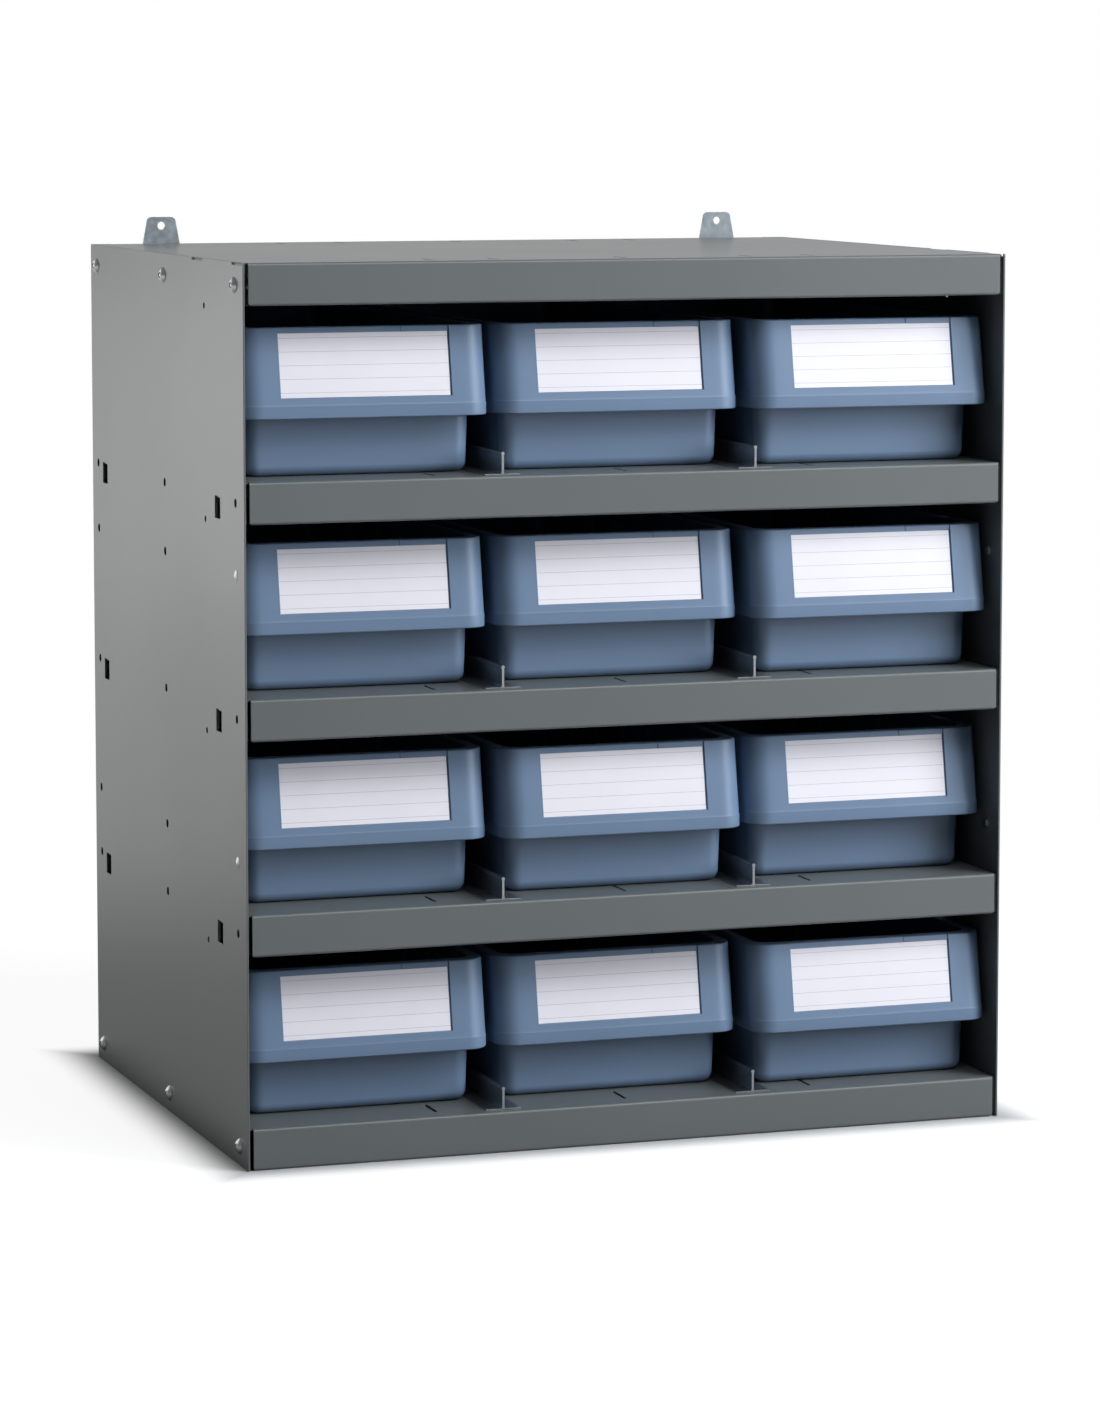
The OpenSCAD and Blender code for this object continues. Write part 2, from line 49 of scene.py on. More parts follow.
# ---------------------------------------------------------------------------
# Camera
# A long lens, a little left of the cabinet and slightly above its top, so that
# the left side, the front and a sliver of the top show.
# ---------------------------------------------------------------------------
camera_data = bpy.data.cameras.new("camera")
camera_data.sensor_width = 36.0
camera_data.lens = 4898.7 / 1422 * 36.0
camera_data.shift_y = (600.0 - 711.0) / 1422
camera_data.clip_end = 60.0
camera = bpy.data.objects.new("camera", camera_data)
camera.location = (-1.16184, -3.39621, 0.7377)
camera.rotation_euler = (math.pi / 2 - 0.10406, 0.0, -0.33302)
scene.collection.objects.link(camera)
scene.camera = camera


# ---------------------------------------------------------------------------
# Room
# A white floor that runs into a white backdrop. A large soft box stands in front on
# the right, with its sheen set apart from its light, a smaller one hangs above the
# front, and two wide ones light the left side and the rear.
# ---------------------------------------------------------------------------
scene.view_settings.view_transform = "Standard"


def add_node(tree, kind, place, **settings):
    """A node of that kind in a tree, at a place in its layout, with its settings."""
    node = tree.nodes.new(kind)
    node.location = place
    for name, value in settings.items():
        setattr(node, name, value)
    return node


def soft_box(name, place, aim, width, height, power, colour=(1.0, 1.0, 1.0)):
    """A rectangular studio light that faces a point."""
    data = bpy.data.lights.new(name, "AREA")
    data.shape = "RECTANGLE"
    data.size, data.size_y = width, height
    data.energy = power
    data.color = colour
    light = bpy.data.objects.new(name, data)
    light.location = place
    light.rotation_euler = (Vector(aim) - Vector(place)).to_track_quat("-Z", "Y").to_euler()
    light.visible_camera = False
    scene.collection.objects.link(light)
    return light


cool = (0.95, 1.0, 1.04)
key_place, key_aim = (1.95, -1.65, 1.40), (0.0, -0.2, 0.3)
key_box = soft_box("key_box", key_place, key_aim, 1.4, 2.2, 94.0, cool)
key_box.visible_glossy = False
key_sheen = soft_box("key_sheen", key_place, key_aim, 1.4, 2.2, 70.0, cool)
key_sheen.visible_diffuse = False
soft_box("top_box", (0.7, -1.80, 2.3), (0.0, -0.2, 0.3), 1.4, 1.0, 24.0, cool)
soft_box("left_rear_box", (-2.0, 2.0, 1.05), (-0.3, 0.2, 0.7), 2.6, 2.0, 27.0)
soft_box("rear_box", (1.6, 3.2, 1.1), (0.2, 0.0, 0.8), 4.0, 2.0, 12.0)

world = bpy.data.worlds.new("white_room")
scene.world = world
world.use_nodes = True
sky = world.node_tree
sky.nodes.clear()
sky_out = add_node(sky, "ShaderNodeOutputWorld", (600, 0))
sky_seen = add_node(sky, "ShaderNodeBackground", (200, 120))
sky_seen.inputs["Color"].default_value = (1.0, 1.0, 1.0, 1.0)
sky_seen.inputs["Strength"].default_value = 1.0
sky_fill = add_node(sky, "ShaderNodeBackground", (200, -80))
sky_fill.inputs["Color"].default_value = (0.97, 0.985, 1.0, 1.0)
sky_fill.inputs["Strength"].default_value = 0.03
sky_mirror = add_node(sky, "ShaderNodeBackground", (0, -280))
sky_mirror.inputs["Strength"].default_value = 0.35
sky_path = add_node(sky, "ShaderNodeLightPath", (-200, 200))
sky_gloss = add_node(sky, "ShaderNodeMixShader", (200, -200))
sky_mix = add_node(sky, "ShaderNodeMixShader", (400, 0))
sky.links.new(sky_path.outputs["Is Camera Ray"], sky_mix.inputs[0])
sky.links.new(sky_path.outputs["Is Glossy Ray"], sky_gloss.inputs[0])
sky.links.new(sky_fill.outputs[0], sky_gloss.inputs[1])
sky.links.new(sky_mirror.outputs[0], sky_gloss.inputs[2])
sky.links.new(sky_gloss.outputs[0], sky_mix.inputs[1])
sky.links.new(sky_seen.outputs[0], sky_mix.inputs[2])
sky.links.new(sky_mix.outputs[0], sky_out.inputs[0])

# White paper that glows for the camera, save under the cabinet. The glow fades in over about 45 mm round
# the cabinet's footprint, which paints a soft shadow along its base. Mirror-like rays see it white from
# further out, and other rays see dull paper.
floor_mesh = bpy.data.meshes.new("floor")
floor_mesh.from_pydata([(-9, -7, 0), (9, -7, 0), (9, 14, 0), (-9, 14, 0)], [], [(0, 1, 2, 3)])
floor = bpy.data.objects.new("floor", floor_mesh)
scene.collection.objects.link(floor)
floor_look = bpy.data.materials.new("white_floor")
floor_look.use_nodes = True
paper = floor_look.node_tree
paper.nodes.clear()
paper_out = add_node(paper, "ShaderNodeOutputMaterial", (600, 0))
paper_base = add_node(paper, "ShaderNodeBsdfPrincipled", (0, 0))
paper_base.inputs["Base Color"].default_value = (0.50, 0.50, 0.50, 1.0)
paper_base.inputs["Roughness"].default_value = 0.6
paper_base.inputs["Specular IOR Level"].default_value = 0.2
paper_dull = add_node(paper, "ShaderNodeBsdfDiffuse", (0, 250))
paper_dull.inputs["Color"].default_value = (0.25, 0.25, 0.25, 1.0)
paper_glow = add_node(paper, "ShaderNodeEmission", (0, -300))
paper_white = add_node(paper, "ShaderNodeEmission", (200, -450))
paper_path = add_node(paper, "ShaderNodeLightPath", (-200, 300))
paper_ray = add_node(paper, "ShaderNodeMath", (0, 450), operation="MAXIMUM")
paper_place = add_node(paper, "ShaderNodeTexCoord", (-800, -500))
paper_reach = add_node(paper, "ShaderNodeVectorMath", (-600, -500), operation="LENGTH")
paper_fade = add_node(paper, "ShaderNodeMapRange", (-400, -500), interpolation_type="SMOOTHSTEP")
paper_fade.inputs["From Min"].default_value = 0.6
paper_fade.inputs["From Max"].default_value = 1.5
paper_fade.inputs["To Min"].default_value = 0.35
cabinet_half_width, cabinet_half_depth = 0.28, 0.215
paper_sides = add_node(paper, "ShaderNodeSeparateXYZ", (-1000, -700))
paper_beside = add_node(paper, "ShaderNodeMath", (-800, -700), operation="ABSOLUTE")
paper_ahead = add_node(paper, "ShaderNodeMath", (-800, -850), operation="ABSOLUTE")
paper_less_x = add_node(paper, "ShaderNodeMath", (-650, -700), operation="SUBTRACT")
paper_less_x.inputs[1].default_value = cabinet_half_width
paper_less_y = add_node(paper, "ShaderNodeMath", (-650, -850), operation="SUBTRACT")
paper_less_y.inputs[1].default_value = cabinet_half_depth
paper_clear = add_node(paper, "ShaderNodeMath", (-500, -750), operation="MAXIMUM")
# Painted shadow: the glow and the white that reflections see both fade in over 45 mm outside the footprint,
# darkening the floor along the base
paper_painted_shadow_fade = add_node(paper, "ShaderNodeMapRange", (-350, -750), interpolation_type="SMOOTHSTEP")
paper_painted_shadow_fade.inputs["From Min"].default_value = -0.004
paper_painted_shadow_fade.inputs["From Max"].default_value = 0.045
paper_level = add_node(paper, "ShaderNodeMath", (-150, -400), operation="MULTIPLY")
paper_level.inputs[1].default_value = 0.80
paper_share = add_node(paper, "ShaderNodeMath", (-150, -600), operation="MULTIPLY")
paper_add = add_node(paper, "ShaderNodeAddShader", (200, -150))
paper_near = add_node(paper, "ShaderNodeMixShader", (300, -150))
paper_far = add_node(paper, "ShaderNodeMixShader", (400, -250))
paper_mix = add_node(paper, "ShaderNodeMixShader", (400, 0))
for out_socket, in_socket in (
    (paper_place.outputs["Object"], paper_reach.inputs[0]),
    (paper_reach.outputs["Value"], paper_fade.inputs["Value"]),
    (paper_base.outputs[0], paper_add.inputs[0]),
    (paper_glow.outputs[0], paper_add.inputs[1]),
    (paper_place.outputs["Object"], paper_sides.inputs[0]),
    (paper_sides.outputs["X"], paper_beside.inputs[0]),
    (paper_sides.outputs["Y"], paper_ahead.inputs[0]),
    (paper_beside.outputs[0], paper_less_x.inputs[0]),
    (paper_ahead.outputs[0], paper_less_y.inputs[0]),
    (paper_less_x.outputs[0], paper_clear.inputs[0]),
    (paper_less_y.outputs[0], paper_clear.inputs[1]),
    (paper_clear.outputs[0], paper_painted_shadow_fade.inputs["Value"]),
    (paper_painted_shadow_fade.outputs["Result"], paper_level.inputs[0]),
    (paper_level.outputs[0], paper_glow.inputs["Strength"]),
    (paper_painted_shadow_fade.outputs["Result"], paper_share.inputs[0]),
    (paper_fade.outputs["Result"], paper_share.inputs[1]),
    (paper_share.outputs[0], paper_far.inputs[0]),
    (paper_path.outputs["Is Camera Ray"], paper_near.inputs[0]),
    (paper_dull.outputs[0], paper_near.inputs[1]),
    (paper_add.outputs[0], paper_near.inputs[2]),
    (paper_near.outputs[0], paper_far.inputs[1]),
    (paper_white.outputs[0], paper_far.inputs[2]),
    (paper_path.outputs["Is Camera Ray"], paper_ray.inputs[0]),
    (paper_path.outputs["Is Glossy Ray"], paper_ray.inputs[1]),
    (paper_ray.outputs[0], paper_mix.inputs[0]),
    (paper_dull.outputs[0], paper_mix.inputs[1]),
    (paper_far.outputs[0], paper_mix.inputs[2]),
    (paper_mix.outputs[0], paper_out.inputs[0]),
):
    paper.links.new(out_socket, in_socket)
floor.data.materials.append(floor_look)


# ---------------------------------------------------------------------------
# Sheet-steel cabinet
# Two sides, five folded pans and a back panel, pressed from 1.25 mm sheet and
# powder coated in a satin grey after folding. The coat has a fine orange peel.
# ---------------------------------------------------------------------------
def new_group(name, inputs, outputs):
    """An empty shader group with named input and output sockets."""
    group = bpy.data.node_groups.new(name, "ShaderNodeTree")
    for label, kind, value in inputs:
        socket = group.interface.new_socket(label, in_out="INPUT", socket_type=kind)
        socket.default_value = value
    for label, kind in outputs:
        group.interface.new_socket(label, in_out="OUTPUT", socket_type=kind)
    start = add_node(group, "NodeGroupInput", (-900, 0))
    end = add_node(group, "NodeGroupOutput", (900, 0))
    return group, start, end


# Fine grain: a small bump and a slow drift in tone, both on the piece's own place
grain, grain_in, grain_out = new_group(
    "fine_grain",
    [("Bump Scale", "NodeSocketFloat", 900.0), ("Drift Scale", "NodeSocketFloat", 4.0),
     ("Colour A", "NodeSocketColor", (0.5, 0.5, 0.5, 1)),
     ("Colour B", "NodeSocketColor", (0.6, 0.6, 0.6, 1)),
     ("Rough A", "NodeSocketFloat", 0.4), ("Rough B", "NodeSocketFloat", 0.5)],
    [("Colour", "NodeSocketColor"), ("Roughness", "NodeSocketFloat"), ("Height", "NodeSocketFloat")],
)
grain_place = add_node(grain, "ShaderNodeTexCoord", (-900, 300))
grain_fine = add_node(grain, "ShaderNodeTexNoise", (-500, 300))
grain_fine.inputs["Detail"].default_value = 2.0
grain_slow = add_node(grain, "ShaderNodeTexNoise", (-500, 0))
grain_slow.inputs["Detail"].default_value = 4.0
grain_slow.inputs["Roughness"].default_value = 0.6
grain_level = add_node(grain, "ShaderNodeMapRange", (-250, 0))
grain_level.inputs["From Min"].default_value = 0.3
grain_level.inputs["From Max"].default_value = 0.7
grain_speck = add_node(grain, "ShaderNodeMix", (-100, -200), data_type="FLOAT")
grain_speck.inputs[0].default_value = 0.25
grain_colour = add_node(grain, "ShaderNodeMix", (300, 200), data_type="RGBA")
grain_rough = add_node(grain, "ShaderNodeMix", (300, -100), data_type="FLOAT")
for texture, scale in ((grain_fine, "Bump Scale"), (grain_slow, "Drift Scale")):
    grain.links.new(grain_place.outputs["Object"], texture.inputs["Vector"])
    grain.links.new(grain_in.outputs[scale], texture.inputs["Scale"])
grain.links.new(grain_slow.outputs["Fac"], grain_level.inputs["Value"])
grain.links.new(grain_level.outputs["Result"], grain_speck.inputs[2])
grain.links.new(grain_fine.outputs["Fac"], grain_speck.inputs[3])
grain.links.new(grain_speck.outputs[0], grain_colour.inputs[0])
grain.links.new(grain_speck.outputs[0], grain_rough.inputs[0])
grain.links.new(grain_in.outputs["Colour A"], grain_colour.inputs[6])
grain.links.new(grain_in.outputs["Colour B"], grain_colour.inputs[7])
grain.links.new(grain_in.outputs["Rough A"], grain_rough.inputs[2])
grain.links.new(grain_in.outputs["Rough B"], grain_rough.inputs[3])
grain.links.new(grain_colour.outputs[2], grain_out.inputs["Colour"])
grain.links.new(grain_rough.outputs[0], grain_out.inputs["Roughness"])
grain.links.new(grain_fine.outputs["Fac"], grain_out.inputs["Height"])


def grained_material(name, colours, roughs, bump_scale, bump, drift=4.0, metal=0.0, corner=0.0003):
    """A material with the fine grain, whose sharp edges are rounded by a bevel normal."""
    look = bpy.data.materials.new(name)
    look.use_nodes = True
    tree = look.node_tree
    base = tree.nodes["Principled BSDF"]
    base.location = (500, 0)
    tree.nodes["Material Output"].location = (800, 0)
    fine = add_node(tree, "ShaderNodeGroup", (-200, 0), node_tree=grain)
    fine.inputs["Bump Scale"].default_value = bump_scale
    fine.inputs["Drift Scale"].default_value = drift
    fine.inputs["Colour A"].default_value = (*colours[0], 1)
    fine.inputs["Colour B"].default_value = (*colours[1], 1)
    fine.inputs["Rough A"].default_value = roughs[0]
    fine.inputs["Rough B"].default_value = roughs[1]
    dent = add_node(tree, "ShaderNodeBump", (200, -300))
    dent.inputs["Strength"].default_value = 1.0
    dent.inputs["Distance"].default_value = bump
    tree.links.new(fine.outputs["Height"], dent.inputs["Height"])
    rounded = add_node(tree, "ShaderNodeBevel", (0, -400), samples=6)
    rounded.inputs["Radius"].default_value = corner
    tree.links.new(rounded.outputs[0], dent.inputs["Normal"])
    tree.links.new(fine.outputs["Colour"], base.inputs["Base Color"])
    tree.links.new(fine.outputs["Roughness"], base.inputs["Roughness"])
    tree.links.new(dent.outputs[0], base.inputs["Normal"])
    base.inputs["Metallic"].default_value = metal
    return look, base


grey_coat, grey_base = grained_material(
    "satin_grey_coat", ((0.116, 0.126, 0.125), (0.128, 0.138, 0.137)), (0.36, 0.41), 1300.0, 0.000012,
    corner=0.0006
)
grey_base.inputs["Coat Weight"].default_value = 0.15
grey_base.inputs["Coat Roughness"].default_value = 0.14
for name in ("left_side_panel", "right_side_panel", "top_pan", "upper_shelf", "middle_shelf",
             "lower_shelf", "bottom_pan", "back_panel"):
    nodes[name].data.materials.clear()
    nodes[name].data.materials.append(grey_coat)


# ---------------------------------------------------------------------------
# Hanging plates
# Two galvanised plates with one hole each, riveted behind the top pan, that take a
# wall screw. Their zinc has a faint spangle.
# ---------------------------------------------------------------------------
plate_look, _ = grained_material(
    "galvanised_plate", ((0.31, 0.35, 0.38), (0.47, 0.52, 0.56)), (0.28, 0.42), 700.0, 0.00001, 160.0, 0.8
)
for name in ("left_hanger", "right_hanger"):
    nodes[name].data.materials.clear()
    nodes[name].data.materials.append(plate_look)


# ---------------------------------------------------------------------------
# Screws, nuts, rivets and plugs
# Bright zinc hardware: pan-head screws with nuts in the sides, rivets in the back
# panel and the hanging plates, and snap plugs in the spare holes at the front.
# ---------------------------------------------------------------------------
zinc_look, _ = grained_material(
    "zinc_plating", ((0.34, 0.35, 0.36), (0.46, 0.47, 0.48)), (0.24, 0.36), 900.0, 0.000008, 90.0, 1.0
)
for name in ("hanger_rivets", "back_rivets", "left_side_screws", "right_side_screws",
             "left_side_nuts", "right_side_nuts", "left_hole_plugs", "right_hole_plugs"):
    nodes[name].data.materials.clear()
    nodes[name].data.materials.append(zinc_look)


# ---------------------------------------------------------------------------
# Guide rails
# Galvanised strips that keep the bins apart: a foot on the shelf and an upright fin,
# of which only the front ends catch the light.
# ---------------------------------------------------------------------------
rail_look, _ = grained_material(
    "rail_steel", ((0.34, 0.36, 0.38), (0.46, 0.48, 0.50)), (0.30, 0.42), 900.0, 0.00001, 160.0, 1.0
)
for name in nodes:
    if name.startswith("rail_"):
        nodes[name].data.materials.clear()
        nodes[name].data.materials.append(rail_look)


# ---------------------------------------------------------------------------
# Bins
# Twelve injection-moulded polypropylene shelf bins in a fine-grained grey blue:
# a drafted tub with a turned-down rim, and a leaning label front that stands clear
# of the tub as a grip. Each stands loose on its shelf. One shell is swept round the
# plan, station by station, and copied to the twelve places.
# ---------------------------------------------------------------------------
bin_height = 102.5
wall = 2.4
draft = 0.035
floor_radius = 7.0

tub_corner_radius = 10.0
tub_corner_x = 70.0
tub_corner_front = 32.0
tub_corner_rear = 381.0

rim_half = 88.19
rim_radius = 18.0
rim_rear = 400.0
rim_thick = 2.4
rim_foot = 95.5

front_half = 90.0
front_radius = 16.0
front_thick = 2.2
front_depth = 42.8
grip_low = 40.5
crease = 49.5
crease_step = 0.3
lean = math.radians(10.5)

recess_depth = 1.2
recess_left, recess_right = -60.9, 61.7
recess_low = 54.6
thumb_left, thumb_low, thumb_depth = 27.2, 98.6, 0.7

edge = 0.8
corner_steps = 9
web_half = 81.29
gate_radius = 0.75


def leaning_y(y, z):
    """How far back a point of the label front's plan lies at a height above the crease."""
    return y / math.cos(lean) + math.tan(lean) * (z - crease)


front_top_rear = leaning_y(front_depth, bin_height)

# Stations: a zone of the plan, the side it lies on, and how far along the zone it is.
# They run from the rear end of the label front's left wall round its front to the
# right, and then round the rim back to the left.
recess_edges = [recess_left, recess_right, thumb_left]
front_xs = [edge_x + step for edge_x in recess_edges for step in (-0.3, 0.0, 0.3)]
front_xs += [-70, -66, -50, -36, -22, -8, 6, 18, 38, 50, 66, 70]
quarter = [i / corner_steps for i in range(corner_steps + 1)]
front_side = [("front_side", t) for t in (0.3, 0.65, 0.95, 1.0)]
rim_side = [("rim_side", i / 12) for i in range(12)]
front_chain = [("front_corner", t) for t in quarter] + front_side
rear_chain = rim_side + [("rear_corner", t) for t in quarter]
stations = [(zone, -1, t) for zone, t in reversed(front_chain)]
stations += [("front", 1, x / (front_half - front_radius)) for x in sorted(front_xs)]
stations += [(zone, 1, t) for zone, t in front_chain]
front_count = len(stations)
stations += [(zone, 1, t) for zone, t in rear_chain]
stations += [("rear", 1, t) for t in (0.6, 0.2, -0.2, -0.6)]
stations += [(zone, -1, t) for zone, t in reversed(rear_chain)]


def tub_point(station, offset, z):
    """A point of the tub at a height, offset outwards from its outline at the floor."""
    zone, side, t = station
    radius = tub_corner_radius + offset
    turn = t * math.pi / 2
    if zone == "front":
        return t * tub_corner_x, tub_corner_front - radius, z
    if zone == "front_corner":
        return (side * (tub_corner_x + radius * math.sin(turn)),
                tub_corner_front - radius * math.cos(turn), z)
    if zone == "front_side":
        y = tub_corner_front + t * (front_top_rear - 1.0 - tub_corner_front)
        return side * (tub_corner_x + radius), y, z
    if zone == "rim_side":
        y = front_top_rear + t * (tub_corner_rear - front_top_rear)
        return side * (tub_corner_x + radius), y, z
    if zone == "rear_corner":
        return (side * (tub_corner_x + radius * math.cos(turn)),
                tub_corner_rear + radius * math.sin(turn), z)
    return t * tub_corner_x, tub_corner_rear + radius, z


def recess_at(x, z):
    """Depth of the label recess at a place on the label front."""
    if not (recess_left + 0.15 < x < recess_right - 0.15) or z < recess_low:
        return 0.0
    if x > thumb_left + 0.15 and z > thumb_low:
        return thumb_depth
    return recess_depth


def skirt_point(station, inset, z, outer=False):
    """A point of the label front or of the rim's lip, inset from its outer face."""
    zone, side, t = station
    turn = t * math.pi / 2
    if zone == "rim_side":
        far = rim_rear - rim_radius
        return side * (rim_half - inset), front_top_rear + 0.02 + t * (far - front_top_rear), z
    if zone == "rear_corner":
        radius = rim_radius - inset
        return (side * (rim_half - rim_radius + radius * math.cos(turn)),
                rim_rear - rim_radius + radius * math.sin(turn), z)
    if zone == "rear":
        return t * (rim_half - rim_radius), rim_rear - inset, z
    inset += crease_step if z > crease else 0.0
    radius = front_radius - inset
    if zone == "front":
        x = t * (front_half - front_radius)
        y = inset + (recess_at(x, z) if outer else 0.0)
    elif zone == "front_corner":
        x = side * (front_half - front_radius + radius * math.sin(turn))
        y = front_radius - radius * math.cos(turn)
    else:
        x = side * (front_half - inset)
        y = front_radius + t * (front_depth - front_radius)
    return x, leaning_y(y, z) if z > crease else y, z


# Rings: how the section runs from the inside of the floor over the rim to the foot
def fillet_rings(radius, centre_z, angles):
    """Rings of the rounded foot, given by how far each angle is turned up from the floor."""
    centre = floor_radius * (draft - math.sqrt(1 + draft ** 2))
    return [("tub", centre + radius * math.sin(a), centre_z - radius * math.cos(a)) for a in angles]


foot_angles = [math.radians(a) for a in (0, 18, 36, 54, 72, 88)]
mouth_z = bin_height - 0.6
mouth_offset = draft * mouth_z - wall
under_z = bin_height - rim_thick
inside_rings = [("tub", -9.5, wall)]
inside_rings += fillet_rings(floor_radius - wall, floor_radius, foot_angles)
inside_rings += [("tub", draft * z - wall, z) for z in (24, 50, 76, 94, mouth_z)]
inside_rings += [
    ("tub", mouth_offset + 0.18, mouth_z + 0.42),
    ("tub", mouth_offset + 0.6, bin_height),
    ("tub", mouth_offset + 1.4, bin_height),
    ("skin", edge + 0.6, bin_height),
    ("skin", edge, bin_height),
    ("skin", 0.3 * edge, bin_height - 0.3 * edge),
    ("skin", 0.0, bin_height - edge),
    ("skin", 0.0, thumb_low + 0.15),
    ("skin", 0.0, thumb_low - 0.15),
    ("skin", 0.0, rim_foot + edge),
]
lip_rings = [(0.3 * edge, rim_foot + 0.3 * edge), (edge, rim_foot),
             (rim_thick - edge, rim_foot), (rim_thick - 0.3 * edge, rim_foot + 0.3 * edge)]
front_outer_rings = [(0.0, z) for z in (90, 82, 74, 66, 58)]
front_outer_rings += [(0.0, recess_low + 0.15), (0.0, recess_low - 0.15), (0.0, 51.5)]
front_outer_rings += [(0.0, crease + 0.3), (-0.1, crease + 0.05), (0.0, crease - 0.4)]
front_outer_rings += [(0.0, 45.0), (0.0, grip_low + edge), (0.3 * edge, grip_low + 0.3 * edge),
                      (edge, grip_low)]
front_inner_rings = [(front_thick + 2 * crease_step - edge, grip_low),
                     (front_thick + 2 * crease_step, grip_low + edge),
                     (front_thick + 2 * crease_step, crease - 0.6)]
front_inner_rings += [(front_thick, z) for z in (crease + 0.5, 60, 72, 84)]
outside_rings = [
    ("wall", 0.0, rim_foot + edge),
    ("wall", 0.0, under_z - 0.5),
    ("wall", 0.5, under_z),
    ("tub", draft * under_z + 0.5, under_z),
    ("tub", draft * (under_z - 0.5), under_z - 0.5),
]
outside_rings += [("tub", draft * z, z) for z in (88, 72, 56, 40, 24)]
outside_rings += fillet_rings(floor_radius, floor_radius, reversed(foot_angles))
outside_rings += [("tub", -9.5, 0.0)]


def ring_point(station, ring):
    """The point at which a ring meets a station."""
    kind, offset, z = ring
    if kind == "tub":
        return tub_point(station, offset, z)
    if kind == "skin":
        return skirt_point(station, offset, z, outer=True)
    thick = front_thick if station[0] in ("front", "front_corner", "front_side") else rim_thick
    return skirt_point(station, thick + offset, z)


def join_rings(shell, rings, count, closed):
    """Faces between rings that follow each other, over the first stations or all round."""
    for upper, lower in zip(rings, rings[1:]):
        for i in range(count if closed else count - 1):
            j = (i + 1) % len(upper)
            shell.faces.new((upper[i], upper[j], lower[j], lower[i]))


def add_ring(shell, points):
    """The points of a ring, in millimetres, as vertices of the shell."""
    return [shell.verts.new(Vector(point) * MM) for point in points]


def add_block(shell, levels):
    """A closed block whose corners are given level by level."""
    rings = [add_ring(shell, corners) for corners in levels]
    join_rings(shell, rings, len(rings[0]), True)
    shell.faces.new(rings[0])
    shell.faces.new(reversed(rings[-1]))


def bin_shell():
    """The moulded bin at its own origin: lip at y = 0, floor at z = 0, middle at x = 0."""
    shell = bmesh.new()
    count = len(stations)
    inside = [add_ring(shell, [ring_point(s, r) for s in stations]) for r in inside_rings]
    outside = [add_ring(shell, [ring_point(s, r) for s in stations]) for r in outside_rings]
    join_rings(shell, inside, count, True)
    join_rings(shell, outside, count, True)
    shell.faces.new(inside[0])
    shell.faces.new(reversed(outside[-1]))

    # The label front's wall hangs between the skirt's outer and inner rings
    front = stations[:front_count]
    hanging = [inside[-1][:front_count]]
    hanging += [add_ring(shell, [skirt_point(s, i, z, outer=True) for s in front])
                for i, z in front_outer_rings]
    hanging += [add_ring(shell, [skirt_point(s, i, z) for s in front]) for i, z in front_inner_rings]
    hanging += [outside[0][:front_count]]
    join_rings(shell, hanging, front_count, False)

    # The rim's lip turns round between the same rings, and meets the wall's two ends
    behind = list(range(front_count - 1, count)) + [0]
    lip = [[inside[-1][i] for i in behind]]
    lip += [add_ring(shell, [skirt_point(stations[i], inset, z) for i in behind])
            for inset, z in lip_rings]
    lip += [[outside[0][i] for i in behind]]
    join_rings(shell, lip, len(behind), False)
    for end, lip_end in ((0, -1), (front_count - 1, 0)):
        down = [ring[end] for ring in hanging]
        up = [ring[lip_end] for ring in reversed(lip[1:-1])]
        shell.faces.new(down + up)

    # Webs that close the grip against the tub
    for side in (-1, 1):
        levels = []
        for z in (grip_low + 0.1, crease, under_z + 0.4):
            front_y = front_depth - front_thick
            ys = [leaning_y(y, z) if z > crease else y for y in (front_y, front_depth - 0.1)]
            xs = [side * web_half, side * (front_half - 1.2)]
            levels.append([(xs[0], ys[0], z), (xs[1], ys[0], z), (xs[1], ys[1], z), (xs[0], ys[1], z)])
        add_block(shell, levels)

    # Stub of the moulding gate, trimmed off under the grip
    gate = bmesh.ops.create_uvsphere(shell, u_segments=12, v_segments=8, radius=gate_radius * MM)
    bmesh.ops.translate(shell, verts=gate["verts"], vec=Vector((1.0, 1.5, grip_low)) * MM)

    bmesh.ops.recalc_face_normals(shell, faces=shell.faces)
    for rim_edge in shell.edges:
        if len(rim_edge.link_faces) == 2:
            rim_edge.smooth = rim_edge.calc_face_angle() < math.radians(50)
    for face in shell.faces:
        face.smooth = True
    mesh = bpy.data.meshes.new("bin_shell")
    shell.to_mesh(mesh)
    shell.free()
    return mesh


